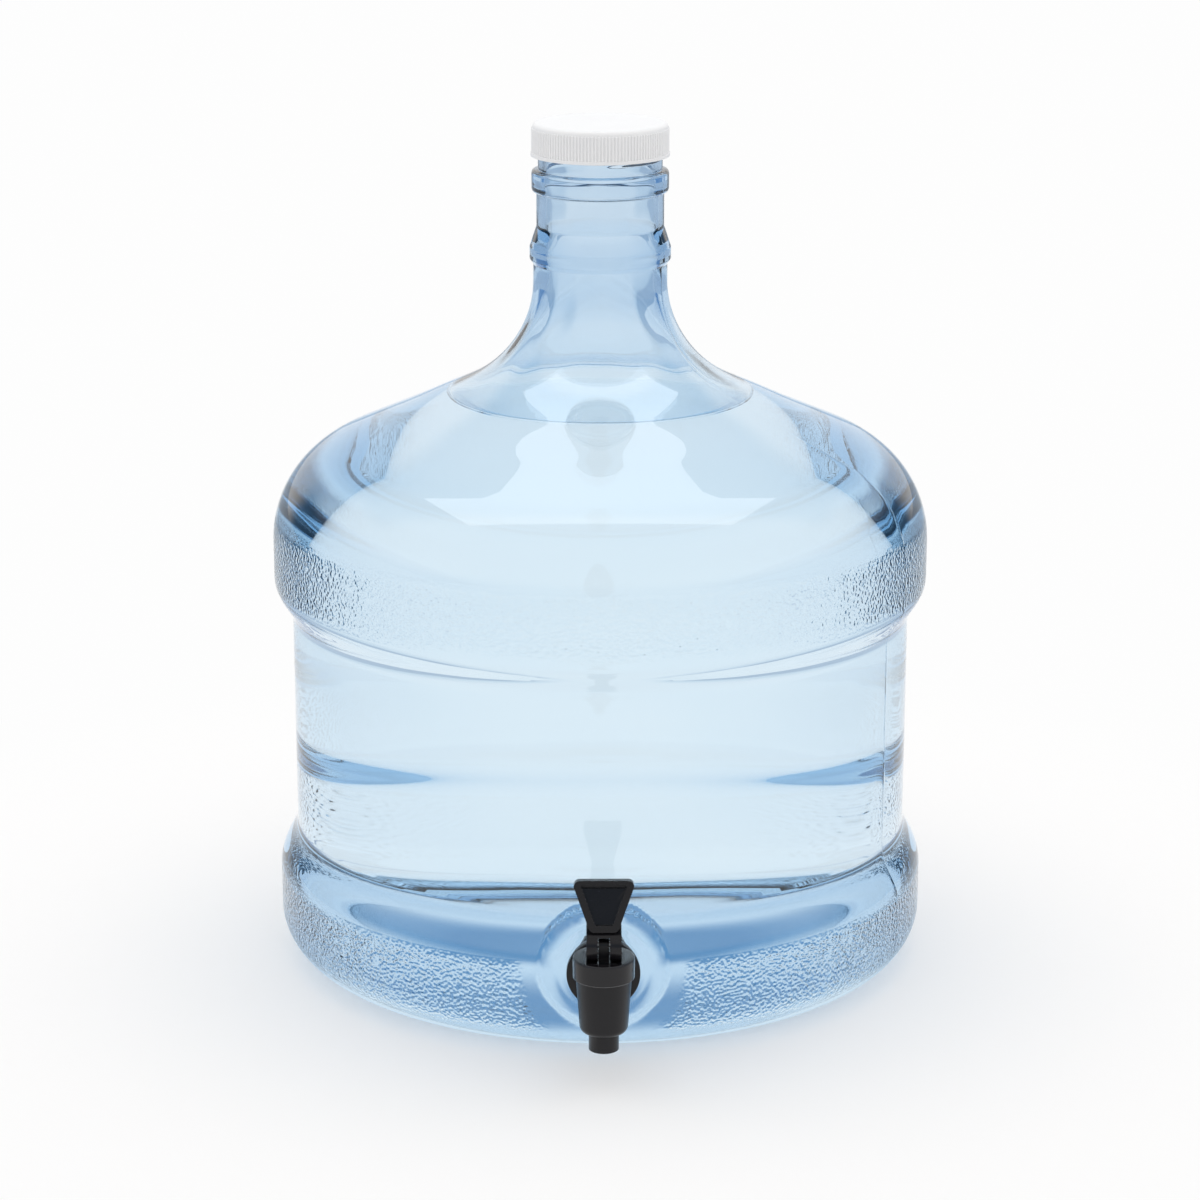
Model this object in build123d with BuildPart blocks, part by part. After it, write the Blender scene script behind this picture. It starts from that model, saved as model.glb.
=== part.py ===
"""Three-gallon blown water bottle with a push-on paddle tap and a ribbed screw cap.

Millimetres. The origin is on the bottle's axis in the plane that it stands on, +Z is up,
and the tap points along -Y.
"""
from build123d import *
from math import cos, pi, radians, sin, tan
import os

# ---- bottle: one blown piece -------------------------------------------------------------
wall = 2.2                     # blown wall of the body
band_radius = 133.5            # outside of the two raised bands
band_step = 7.2                # the plain waist between them lies this far inside
heel_radius = 20.0             # rounding from the lower band to the standing ring
ring_width = 7.0               # flat ring that touches the table
push_up = 9.0                  # rise of the dome inside the standing ring
lower_band_top = 37.5          # the lower band is full up to here
lower_fade = 20.0              # height over which it falls back to the waist
waist_height = 86.0            # plain wall between the two fades
upper_fade = 17.0              # height over which the waist grows into the upper band
upper_band_height = 15.5       # straight part of the upper band
shoulder_radius = 43.0         # rounding from the upper band to the cone
shoulder_angle = 23.8          # slope of the shoulder cone, degrees above level
flare_radius = 86.0            # ring where the cone starts to curve up into the flare
flare_height = 56.0            # from that ring to the neck's foot
flare_low = (20.0, 9.3)        # three points of the flare, in from the ring and up from it
flare_middle = (38.0, 18.4)
flare_high = (54.7, 37.5)

# ---- neck, measured from the screw finish and from the neck's foot -----------------------
finish_radius = 24.9           # core of the screw finish
finish_wall = 2.5              # from the core to the bore
finish_height = 16.2           # from the stop bead to the mouth's rim
mouth_rounding = 0.8
neck_step = 0.7                # neck above the carrying bead, outside the core
neck_foot_step = 1.4           # neck below the carrying bead, outside that
carry_bead_step = 1.4          # sloped bead, widest near its foot, outside the neck's foot
carry_bead_bottom = 7.0        # above the neck's foot
carry_bead_widest = 11.5
carry_bead_land = 2.2          # half the height of its widest part
carry_bead_top = 22.0
stop_bead_step = 1.9           # plain bead under the cap, outside the neck
stop_bead_bottom = 35.8
stop_bead_height = 9.0
bead_rounding = 1.3

# ---- boss that the tap is mounted on -----------------------------------------------------
port_height = 37.7             # axis of the tap's shank
boss_rise = 2.0                # flat face, proud of the bands
boss_flat = 17.0               # radius of the flat face
boss_rounding = 8.0
boss_root_depth = 12.0         # how far the boss runs back into the body
port_clearance = 0.3           # hole over shank

# ---- screw cap ---------------------------------------------------------------------------
cap_height = 13.2
cap_top = 1.5                  # thickness over the liner
liner_thickness = 1.0
liner_gap = 0.3                # liner inside the cap's bore
thread_room = 1.5              # from the finish's core to the cap's bore
cap_wall = 0.65                # skirt between the ribs
cap_rounding = 1.8
cap_lip = 0.75                 # foot bead, proud of the skirt
cap_lip_height = 1.3
rib_count = 126
rib_width = 0.7
rib_height = 0.45
rib_stop = 0.4                 # ribs end this far under the top rounding

# ---- tap: shank, flange and barrel -------------------------------------------------------
shank_radius = 8.0
inlet_bore = 3.9
hub_gap = 0.3                  # hub under the bonnet's skirt
gasket_thickness = 1.5
gasket_radius = 13.4
gasket_clearance = 0.1
nut_thickness = 6.0
nut_across_flats = 24.0
nut_clearance = 0.1
nut_chamfer = 0.8
shank_past_nut = 2.0
flange_radius = 14.2
flange_thickness = 2.5
flange_rounding = 0.6
hub_length = 15.5              # from the flange's face to the axis of the barrel
nozzle_radius = 5.75
nozzle_length = 7.0
nozzle_rounding = 0.9
outlet_bore = 4.0
barrel_foot_radius = 9.1
barrel_shoulder = 0.95         # step from the collar out to the barrel's top edge
barrel_rounding = 3.0
barrel_height = 22.4
barrel_rise = 5.7              # barrel's top edge above the shank's axis
chamber_radius = 7.4
chamber_floor = 3.6            # floor above the barrel's underside
seat_lip_height = 0.6
seat_lip_width = 0.9
collar_radius = 9.7            # barrel's neck, inside the bonnet's skirt
collar_height = 4.3

# ---- tap: bonnet and seat cup ------------------------------------------------------------
bonnet_height = 8.1
bonnet_rounding = 0.7
bonnet_clearance = 0.2
bonnet_wall = 1.85             # skirt outside the collar's clearance
cup_flange_thickness = 1.2
cup_flange_gap = 0.3
cup_top_radius = 6.5
cup_plug_radius = 5.8
cup_wall = 0.9
cup_plug_thickness = 3.6
cup_lip_radius = 2.7           # inner edge of the lip that grips the stem's head
cup_lip_thickness = 1.1
cam_pocket_depth = 0.7
cam_pocket_gap = 0.3
cam_pocket_front = 8.5         # ahead of the barrel's axis
cam_pocket_back = 4.5
cam_pocket_rim = 1.0

# ---- tap: stem, lever and pin ------------------------------------------------------------
tongue_width = 3.9
tongue_depth = 5.0
tongue_clearance = 0.1         # in the bonnet's slot
stem_radius = 1.9
stem_head_radius = 3.9
stem_head_thickness = 1.8
tongue_foot_drop = 4.5         # tongue's foot below the bonnet's ceiling
pin_radius = 1.2
pin_running_gap = 0.05         # in the tongue
pin_seat_gap = 0.01            # in the cheeks
pin_recess = 0.5
pin_height = 5.5               # pin above the pocket's floor
cam_clearance = 0.1            # running gap under the cheeks' feet
cam_rate = 2.2                 # lift of the stem, millimetres per radian of lever
lever_travel = 70.0            # degrees
cheek_width = 13.2
cheek_gap = 4.7
cheek_back = 3.0
cheek_top = 9.0
cheek_throat = 5.2             # top of the slot between the cheeks, above the pin
paddle_top_width = 24.4
paddle_bottom_width = 10.4
paddle_bottom = 7.1            # above the pin
paddle_height = 20.2
paddle_thickness = 3.0
paddle_lean = 4.5              # degrees back from upright
paddle_reach = 6.4             # front of its bottom edge, ahead of the pin
paddle_corner = 2.2
paddle_rim = 2.7
paddle_recess = 1.1
grip_slot_width = 17.0
grip_slot_height = 1.8
grip_slot_drop = 1.5           # below the paddle's top edge
grip_slot_depth = 1.9

os.makedirs("parts", exist_ok=True)


def finish(name, part, label):
    """Label a finished piece and write its file."""
    part.label = label
    export_step(part, f"parts/{label}.step")
    print(f"{name}: {part.volume:.0f} mm3")


# ---- places worked out from the sizes above ----------------------------------------------
slope = radians(shoulder_angle)
waist_radius = band_radius - band_step
standing_radius = band_radius - heel_radius
upper_band_bottom = lower_band_top + lower_fade + waist_height + upper_fade
shoulder_start = upper_band_bottom + upper_band_height
cone_at_band = shoulder_start + shoulder_radius * tan((pi / 2 - slope) / 2)
flare_start = cone_at_band + (band_radius - flare_radius) * tan(slope)
neck_foot_height = flare_start + flare_height
neck_bore = finish_radius - finish_wall
neck_radius = finish_radius + neck_step
neck_foot_radius = neck_radius + neck_foot_step
carry_bead_radius = neck_foot_radius + carry_bead_step
stop_bead_radius = neck_radius + stop_bead_step
stop_bead_middle = neck_foot_height + stop_bead_bottom + stop_bead_height / 2
bottle_height = stop_bead_middle + stop_bead_height / 2 + finish_height
boss_reach = band_radius + boss_rise
boss_inner_face = boss_reach - wall
nut_face = boss_inner_face - gasket_thickness
shank_end = nut_face - nut_thickness - shank_past_nut
flange_back = boss_reach + gasket_thickness
flange_front = flange_back + flange_thickness
tap_reach = flange_front + hub_length
barrel_top = port_height + barrel_rise
barrel_bottom = barrel_top - barrel_height
nozzle_bottom = barrel_bottom - nozzle_length
barrel_top_radius = collar_radius + barrel_shoulder
bonnet_radius = collar_radius + bonnet_clearance + bonnet_wall
collar_top = barrel_top + collar_height
bonnet_top = barrel_top + bonnet_height
bonnet_ceiling = collar_top + cup_flange_thickness
pocket_floor = bonnet_top - cam_pocket_depth
floor_of_chamber = barrel_bottom + chamber_floor
seat_height = floor_of_chamber + seat_lip_height
head_bottom = seat_height + cup_plug_thickness
head_top = head_bottom + stem_head_thickness
pin_z = pocket_floor + pin_height
foot_height = pin_height - cam_clearance
tap_axis = Axis((0, -tap_reach, 0), (0, 0, 1))
port_axis = Axis((0, 0, port_height), (0, -1, 0))


def port_plane(reach):
    """Plane across the shank, at a distance from the bottle's axis, facing the user."""
    return Plane(origin=(0, -reach, port_height), x_dir=(1, 0, 0), z_dir=(0, -1, 0))


# ---- bottle ------------------------------------------------------------------------------
def body_outline(inset, neck):
    """Half outline from the base's centre to the neck's foot, moved inwards by inset.

    The bands are joined to the waist by S-curves, the upper band to the shoulder cone by a
    tangent arc. neck is the radius that the flare ends at, so the inner outline can leave
    the neck a thicker wall than the body.
    """
    ring_inner = standing_radius - ring_width
    cone_end = (flare_radius - inset * sin(slope), flare_start - inset * cos(slope))
    shelf = neck_foot_radius - neck
    TangentArc((0, push_up + inset), (ring_inner, inset), tangent=(1, 0))
    Line((ring_inner, inset), (standing_radius, inset))
    heel = JernArc((standing_radius, inset), (1, 0), heel_radius - inset, 90)
    band = Line(heel @ 1, (band_radius - inset, lower_band_top))
    fade_in = Spline(
        band @ 1, (waist_radius - inset, lower_band_top + lower_fade), tangents=[(0, 1), (0, 1)]
    )
    waist = Line(fade_in @ 1, (waist_radius - inset, upper_band_bottom - upper_fade))
    fade_out = Spline(
        waist @ 1, (band_radius - inset, upper_band_bottom), tangents=[(0, 1), (0, 1)]
    )
    upper = Line(fade_out @ 1, (band_radius - inset, shoulder_start))
    shoulder = JernArc(upper @ 1, (0, 1), shoulder_radius - inset, 90 - shoulder_angle)
    Line(shoulder @ 1, cone_end)
    return Spline(
        cone_end,
        (
            flare_radius - flare_low[0] - 0.43 * inset,
            flare_start + flare_low[1] - 0.9 * inset,
        ),
        (
            flare_radius - flare_middle[0] - 0.6 * inset,
            flare_start + flare_middle[1] - 0.8 * inset,
        ),
        (
            flare_radius - flare_high[0] - 0.7 * shelf,
            flare_start + flare_high[1] - 0.4 * inset,
        ),
        (neck, neck_foot_height),
        tangents=[(-cos(slope), sin(slope)), (0, 1)],
    )


def boss_outline(inset):
    """Half outline of the boss about the shank's axis, moved inwards by inset."""
    face = -(boss_reach - inset)
    root = -(waist_radius - boss_root_depth)
    flat = Line((face, port_height), (face, port_height + boss_flat))
    edge = JernArc(flat @ 1, (0, 1), boss_rounding - inset, -90)
    side = Line(edge @ 1, (root, (edge @ 1).Y))
    Line(side @ 1, (root, port_height))
    Line((root, port_height), flat @ 0)


bead_bottom = neck_foot_height + carry_bead_bottom
bead_widest = neck_foot_height + carry_bead_widest
bead_top = neck_foot_height + carry_bead_top

with BuildPart() as bottle:
    with BuildSketch(Plane.XZ):
        with BuildLine():
            flare = body_outline(0, neck_foot_radius)
            Polyline(
                flare @ 1,
                (neck_foot_radius, bead_widest),
                (neck_radius, bead_top),
                (neck_radius, stop_bead_middle),
                (finish_radius, stop_bead_middle + stop_bead_height / 2),
                (finish_radius, bottle_height),
                (0, bottle_height),
                (0, push_up),
            )
        make_face()
        with BuildLine():
            Polyline(
                (neck_bore, bead_bottom),
                (neck_foot_radius, bead_bottom),
                (carry_bead_radius, bead_widest - carry_bead_land),
                (carry_bead_radius, bead_widest + carry_bead_land),
                (neck_radius, bead_top),
                (neck_bore, bead_top),
                close=True,
            )
        make_face()
        with Locations(((neck_bore + stop_bead_radius) / 2, stop_bead_middle)):
            RectangleRounded(stop_bead_radius - neck_bore, stop_bead_height, bead_rounding)
    revolve(axis=Axis.Z)
    with BuildSketch(Plane.YZ):
        with BuildLine():
            boss_outline(0)
        make_face()
    revolve(axis=port_axis)
    with BuildSketch(Plane.XZ):
        with BuildLine():
            flare = body_outline(wall, neck_bore)
            Polyline(
                flare @ 1,
                (neck_bore, bottle_height),
                (0, bottle_height),
                (0, push_up + wall),
            )
        make_face()
    revolve(axis=Axis.Z, mode=Mode.SUBTRACT)
    with BuildSketch(Plane.YZ):
        with BuildLine():
            boss_outline(wall)
        make_face()
    revolve(axis=port_axis, mode=Mode.SUBTRACT)
    with BuildSketch(port_plane(boss_reach)):
        Circle(shank_radius + port_clearance)
    extrude(amount=-2 * wall, mode=Mode.SUBTRACT)
    mouth = bottle.edges().filter_by(GeomType.CIRCLE).group_by(Axis.Z)[-1]
    fillet(mouth, mouth_rounding)
finish("bottle", bottle.part, "bottle")

# ---- screw cap and its liner -------------------------------------------------------------
cap_bore = finish_radius + thread_room
cap_radius = cap_bore + cap_wall
liner_top = bottle_height + liner_thickness
cap_z_top = liner_top + cap_top
cap_z_bottom = cap_z_top - cap_height

with BuildPart() as cap_liner:
    with BuildSketch(Plane.XY.offset(bottle_height)):
        Circle(cap_bore - liner_gap)
    extrude(amount=liner_thickness)
finish("liner", cap_liner.part, "cap_liner")

with BuildPart() as screw_cap:
    with BuildSketch(Plane.XY.offset(cap_z_bottom)):
        Circle(cap_radius)
    extrude(amount=cap_height)
    fillet(screw_cap.edges().group_by(Axis.Z)[-1], cap_rounding)
    with BuildSketch(Plane.XY.offset(cap_z_bottom)):
        Circle(cap_radius + cap_lip)
    extrude(amount=cap_lip_height)
    with BuildSketch(Plane.XY.offset(cap_z_bottom + cap_lip_height)):
        with PolarLocations(cap_radius, rib_count):
            Rectangle(2 * rib_height, rib_width)
    extrude(amount=cap_height - cap_lip_height - cap_rounding - rib_stop)
    with BuildSketch(Plane.XY.offset(cap_z_bottom)):
        Circle(cap_bore)
    extrude(amount=cap_height - cap_top, mode=Mode.SUBTRACT)
finish("cap", screw_cap.part, "screw_cap")

# ---- gaskets and back nut ----------------------------------------------------------------
with BuildPart() as outer_gasket:
    with BuildSketch(port_plane(boss_reach)):
        Circle(gasket_radius)
        Circle(shank_radius + gasket_clearance, mode=Mode.SUBTRACT)
    extrude(amount=gasket_thickness)
finish("outer gasket", outer_gasket.part, "outer_gasket")

with BuildPart() as inner_gasket:
    with BuildSketch(port_plane(nut_face)):
        Circle(gasket_radius)
        Circle(shank_radius + gasket_clearance, mode=Mode.SUBTRACT)
    extrude(amount=gasket_thickness)
finish("inner gasket", inner_gasket.part, "inner_gasket")

with BuildPart() as back_nut:
    with BuildSketch(port_plane(nut_face)):
        RegularPolygon(nut_across_flats / 2, 6, major_radius=False)
    extrude(amount=-nut_thickness)
    chamfer(back_nut.edges().filter_by(Plane.XZ), nut_chamfer)
    with BuildSketch(port_plane(nut_face)):
        Circle(shank_radius + nut_clearance)
    extrude(amount=-nut_thickness, mode=Mode.SUBTRACT)
finish("nut", back_nut.part, "back_nut")

# ---- tap body: nozzle, barrel, flange and shank in one moulding --------------------------
with BuildPart() as tap_body:
    with BuildSketch(Plane.XZ.offset(tap_reach)):
        with BuildLine():
            Polyline(
                (0, nozzle_bottom),
                (nozzle_radius, nozzle_bottom),
                (nozzle_radius, barrel_bottom),
                (barrel_foot_radius, barrel_bottom),
                (barrel_top_radius, barrel_top),
                (collar_radius, barrel_top),
                (collar_radius, collar_top),
                (0, collar_top),
                close=True,
            )
        profile = make_face()
        corners = profile.vertices()
        fillet(corners.sort_by_distance((barrel_foot_radius, barrel_bottom))[0], barrel_rounding)
        fillet(corners.sort_by_distance((nozzle_radius, nozzle_bottom))[0], nozzle_rounding)
    revolve(axis=tap_axis)
    with BuildSketch(port_plane(shank_end)):
        Circle(shank_radius)
    extrude(amount=flange_front - shank_end)
    with BuildSketch(port_plane(shank_end)):
        Circle(barrel_top - hub_gap - port_height)
    extrude(amount=tap_reach - shank_end)
    with BuildSketch(port_plane(flange_back)):
        Circle(flange_radius)
    extrude(amount=flange_thickness)
    rim = tap_body.edges().filter_by(GeomType.CIRCLE).filter_by(
        lambda edge: abs(edge.radius - flange_radius) < 0.01
    )
    fillet(rim.sort_by(Axis.Y)[0], flange_rounding)
    with BuildSketch(Plane.XY.offset(floor_of_chamber)):
        with Locations((0, -tap_reach)):
            Circle(chamber_radius)
    extrude(amount=collar_top - floor_of_chamber, mode=Mode.SUBTRACT)
    with BuildSketch(Plane.XY.offset(floor_of_chamber)):
        with Locations((0, -tap_reach)):
            Circle(outlet_bore + seat_lip_width)
    extrude(amount=seat_lip_height)
    with BuildSketch(Plane.XY.offset(nozzle_bottom)):
        with Locations((0, -tap_reach)):
            Circle(outlet_bore)
    extrude(amount=seat_height - nozzle_bottom, mode=Mode.SUBTRACT)
    with BuildSketch(port_plane(shank_end)):
        Circle(inlet_bore)
    extrude(amount=tap_reach - chamber_radius / 2 - shank_end, mode=Mode.SUBTRACT)
finish("tap body", tap_body.part, "tap_body")

# ---- bonnet: screwed collar with a pocket for the lever's feet ---------------------------
with BuildPart() as tap_bonnet:
    with BuildSketch(Plane.XY.offset(barrel_top)):
        with Locations((0, -tap_reach)):
            Circle(bonnet_radius)
    extrude(amount=bonnet_height)
    fillet(tap_bonnet.edges().group_by(Axis.Z)[-1], bonnet_rounding)
    with BuildSketch(Plane.XY.offset(barrel_top)):
        with Locations((0, -tap_reach)):
            Circle(collar_radius + bonnet_clearance)
    extrude(amount=bonnet_ceiling - barrel_top, mode=Mode.SUBTRACT)
    with BuildSketch(Plane.XY.offset(pocket_floor)):
        with Locations((0, -tap_reach - (cam_pocket_front - cam_pocket_back) / 2)):
            Rectangle(cheek_width + 2 * cam_pocket_gap, cam_pocket_front + cam_pocket_back)
        with Locations((0, -tap_reach)):
            Circle(bonnet_radius - cam_pocket_rim, mode=Mode.INTERSECT)
    extrude(amount=cam_pocket_depth, mode=Mode.SUBTRACT)
    with BuildSketch(Plane.XY.offset(bonnet_ceiling)):
        with Locations((0, -tap_reach)):
            Rectangle(tongue_width + 2 * tongue_clearance, tongue_depth + 2 * tongue_clearance)
    extrude(amount=bonnet_top - bonnet_ceiling, mode=Mode.SUBTRACT)
finish("bonnet", tap_bonnet.part, "tap_bonnet")

# ---- seat cup: soft bell clamped at its flange, closing the outlet with its plug ---------
with BuildPart() as seat_cup:
    with BuildSketch(Plane.XZ.offset(tap_reach)):
        with BuildLine():
            Polyline(
                (0, seat_height),
                (cup_plug_radius, seat_height),
                (cup_plug_radius, head_top + cup_lip_thickness),
                (cup_top_radius, collar_top),
                (collar_radius - cup_flange_gap, collar_top),
                (collar_radius - cup_flange_gap, bonnet_ceiling),
                (cup_top_radius - cup_wall, bonnet_ceiling),
                (cup_plug_radius - cup_wall, head_top + cup_lip_thickness),
                (cup_lip_radius, head_top + cup_lip_thickness),
                (cup_lip_radius, head_top),
                (stem_head_radius, head_top),
                (stem_head_radius, head_bottom),
                (0, head_bottom),
                close=True,
            )
        make_face()
    revolve(axis=tap_axis)
finish("seat cup", seat_cup.part, "seat_cup")

# ---- valve stem: headed rod with a flat tongue -------------------------------------------
tongue_foot = bonnet_ceiling - tongue_foot_drop
with BuildPart() as valve_stem:
    with BuildSketch(Plane.YZ.offset(-tongue_width / 2)):
        with Locations((-tap_reach, (tongue_foot + pin_z) / 2)):
            Rectangle(tongue_depth, pin_z - tongue_foot)
        with Locations((-tap_reach, pin_z)):
            Circle(tongue_depth / 2)
            Circle(pin_radius + pin_running_gap, mode=Mode.SUBTRACT)
    extrude(amount=tongue_width)
    with BuildSketch(Plane.XY.offset(head_bottom)):
        with Locations((0, -tap_reach)):
            Circle(stem_head_radius)
    extrude(amount=stem_head_thickness)
    with BuildSketch(Plane.XY.offset(head_bottom)):
        with Locations((0, -tap_reach)):
            Circle(stem_radius)
    extrude(amount=tongue_foot - head_bottom)
finish("stem", valve_stem.part, "valve_stem")


# ---- lever: paddle on two cam-footed cheeks ----------------------------------------------
def cam_point(angle):
    """Point of the cheek's foot that bears on the bonnet when the lever has tipped by angle.

    The foot's support height grows evenly with the angle, foot_height + cam_rate * angle, so
    its outline is the involute of a circle of radius cam_rate, and the stem's lift is in
    proportion to the lever's tilt.
    """
    height = foot_height + cam_rate * angle
    forward = height * sin(angle) + cam_rate * cos(angle)
    upward = cam_rate * sin(angle) - height * cos(angle)
    return (-tap_reach - forward, pin_z + upward)


travel = radians(lever_travel)
nose = cam_point(travel)
paddle_face = Plane(
    origin=(0, -tap_reach - paddle_reach, pin_z + paddle_bottom),
    x_dir=(1, 0, 0),
    z_dir=(0, -cos(radians(paddle_lean)), sin(radians(paddle_lean))),
)
neck_back = -tap_reach - paddle_reach + paddle_thickness

with BuildPart() as tap_lever:
    with BuildSketch(Plane.YZ.offset(-cheek_width / 2)):
        with BuildLine():
            foot = Line((-tap_reach + cheek_back, pin_z - foot_height), cam_point(0))
            cam = Spline(
                [cam_point(travel * step / 8) for step in range(9)],
                tangents=[(-1, 0), (-cos(travel), sin(travel))],
            )
            brow = TangentArc(cam @ 1, (neck_back, pin_z + paddle_bottom), tangent=cam % 1)
            Polyline(
                brow @ 1,
                (neck_back, pin_z + cheek_top),
                (-tap_reach, pin_z + cheek_top),
                (-tap_reach + cheek_back, pin_z + paddle_bottom - cheek_back),
                foot @ 0,
            )
        make_face()
        with Locations((-tap_reach, pin_z)):
            Circle(pin_radius + pin_seat_gap, mode=Mode.SUBTRACT)
    extrude(amount=cheek_width)
    with BuildSketch(Plane.XY.offset(pin_z - pin_height)):
        with Locations((0, -tap_reach)):
            Rectangle(cheek_gap, 4 * tongue_depth)
    extrude(amount=pin_height + cheek_throat, mode=Mode.SUBTRACT)
    with BuildSketch(paddle_face):
        with BuildLine():
            Polyline(
                (-paddle_bottom_width / 2, 0),
                (paddle_bottom_width / 2, 0),
                (paddle_top_width / 2, paddle_height),
                (-paddle_top_width / 2, paddle_height),
                close=True,
            )
        outline = make_face()
        fillet(outline.vertices().group_by(Axis.Z)[-1], paddle_corner)
    extrude(amount=-paddle_thickness)
    with BuildSketch(paddle_face):
        with BuildLine():
            Polyline(
                (-paddle_bottom_width / 2, 0),
                (paddle_bottom_width / 2, 0),
                (paddle_top_width / 2, paddle_height),
                (-paddle_top_width / 2, paddle_height),
                close=True,
            )
        make_face()
        offset(amount=-paddle_rim, mode=Mode.REPLACE)
    extrude(amount=-paddle_recess, mode=Mode.SUBTRACT)
    with BuildSketch(paddle_face):
        with Locations((0, paddle_height - grip_slot_drop - grip_slot_height / 2)):
            RectangleRounded(grip_slot_width, grip_slot_height, grip_slot_height / 2.2)
    extrude(amount=-grip_slot_depth, mode=Mode.SUBTRACT)
finish("lever", tap_lever.part, "tap_lever")

with BuildPart() as lever_pin:
    with BuildSketch(Plane.YZ.offset(-cheek_width / 2 + pin_recess)):
        with Locations((-tap_reach, pin_z)):
            Circle(pin_radius)
    extrude(amount=cheek_width - 2 * pin_recess)
finish("pin", lever_pin.part, "lever_pin")
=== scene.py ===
"""Blue three-gallon water bottle with a ribbed screw cap and a black lever tap."""
import math

import bmesh
import bpy
import numpy as np
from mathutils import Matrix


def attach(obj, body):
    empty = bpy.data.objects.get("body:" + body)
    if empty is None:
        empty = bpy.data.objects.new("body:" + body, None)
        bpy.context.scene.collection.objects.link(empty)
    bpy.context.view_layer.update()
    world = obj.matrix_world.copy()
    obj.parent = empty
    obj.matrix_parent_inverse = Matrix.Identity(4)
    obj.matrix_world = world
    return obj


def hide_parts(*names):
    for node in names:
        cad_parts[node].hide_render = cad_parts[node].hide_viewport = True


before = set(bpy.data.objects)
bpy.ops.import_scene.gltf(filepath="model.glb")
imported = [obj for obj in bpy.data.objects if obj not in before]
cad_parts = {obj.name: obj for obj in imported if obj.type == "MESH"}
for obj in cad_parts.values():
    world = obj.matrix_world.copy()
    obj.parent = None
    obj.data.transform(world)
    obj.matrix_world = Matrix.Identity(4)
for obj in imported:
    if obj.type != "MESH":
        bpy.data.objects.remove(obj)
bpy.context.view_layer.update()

# ---- bottle ------------------------------------------------------------------------------
# One piece of clear pale blue polycarbonate, blown in a two-part mould: a raised ring to
# stand on, two pebbled grip bands, a plain waist, a domed shoulder and a beaded neck. Its
# colour comes from the depth of plastic that the light crosses.
MM = 0.001
WALL = 2.2
BAND, WAIST, HEEL, RING = 133.5, 126.3, 20.0, 7.0
PUSH_UP = 9.0
LOWER_TOP, LOWER_FADE = 37.5, 20.0
UPPER_BOTTOM, UPPER_FADE, UPPER_TOP = 160.5, 17.0, 176.0
SHOULDER, SLOPE = 43.0, math.radians(23.8)
CONE_END, FLARE_LOW, FLARE_MIDDLE = (86.0, 224.98), (66.0, 234.28), (48.0, 243.38)
FLARE_HIGH, NECK_FOOT = (31.3, 262.48), (27.0, 280.98)
NECK, BORE, MOUTH = 25.6, 22.4, 341.98
PORT_HEIGHT, BOSS_REACH, BOSS_FLAT, BOSS_ROUND = 37.7, 135.5, 17.0, 8.0
SEAM_ANGLE = math.radians(64.0)
WATER_LEVEL = 234.0


def arc(centre, radius, start, end, count):
    """Points of a circle's arc, from the start angle to the end angle in degrees."""
    angle = np.radians(np.linspace(start, end, count))
    return np.stack([centre[0] + radius * np.cos(angle), centre[1] + radius * np.sin(angle)], 1)


def line(start, end, count):
    """Evenly spaced points of a straight run."""
    share = np.linspace(0, 1, count)[:, None]
    return (1 - share) * np.array(start) + share * np.array(end)


def curve(points, leave, arrive, count):
    """Cubic spline through points by chord length, with given directions at its ends.

    The slopes at the inner points solve the usual tridiagonal system, so the bend is
    continuous from one span to the next.
    """
    points = np.array(points, float)
    gap = np.linalg.norm(np.diff(points, axis=0), axis=1)
    along = np.concatenate([[0], np.cumsum(gap)])
    system, slopes = np.eye(len(points)), np.zeros(points.shape)
    slopes[0], slopes[-1] = leave / np.linalg.norm(leave), arrive / np.linalg.norm(arrive)
    for i in range(1, len(points) - 1):
        system[i, i - 1:i + 2] = gap[i], 2 * (gap[i - 1] + gap[i]), gap[i - 1]
        slopes[i] = 3 * (gap[i] / gap[i - 1] * (points[i] - points[i - 1])
                         + gap[i - 1] / gap[i] * (points[i + 1] - points[i]))
    slopes = np.linalg.solve(system, slopes)
    place = np.linspace(0, along[-1], count)
    span = np.clip(np.searchsorted(along, place, "right") - 1, 0, len(gap) - 1)
    share, size = ((place - along[span]) / gap[span])[:, None], gap[span][:, None]
    cube, square = share**3, share**2
    return ((2 * cube - 3 * square + 1) * points[span]
            + (cube - 2 * square + share) * size * slopes[span]
            + (3 * square - 2 * cube) * points[span + 1]
            + (cube - square) * size * slopes[span + 1])


def rounded(points, radii, count=5):
    """A run of straight lines whose inner corners are rounded to the given radii."""
    points = [np.array(p, float) for p in points]
    runs = [points[0][None]]
    for before, corner, after, radius in zip(points, points[1:], points[2:], radii):
        come, go = before - corner, after - corner
        come, go = come / np.linalg.norm(come), go / np.linalg.norm(go)
        half = math.acos(np.clip(come @ go, -1, 1)) / 2
        reach = radius / math.tan(half)
        share = np.linspace(0, 1, count)[:, None]
        first, last = corner + come * reach, corner + go * reach
        runs.append((1 - share)**2 * first + 2 * share * (1 - share) * corner + share**2 * last)
    runs.append(points[-1][None])
    return np.concatenate(runs)


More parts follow.
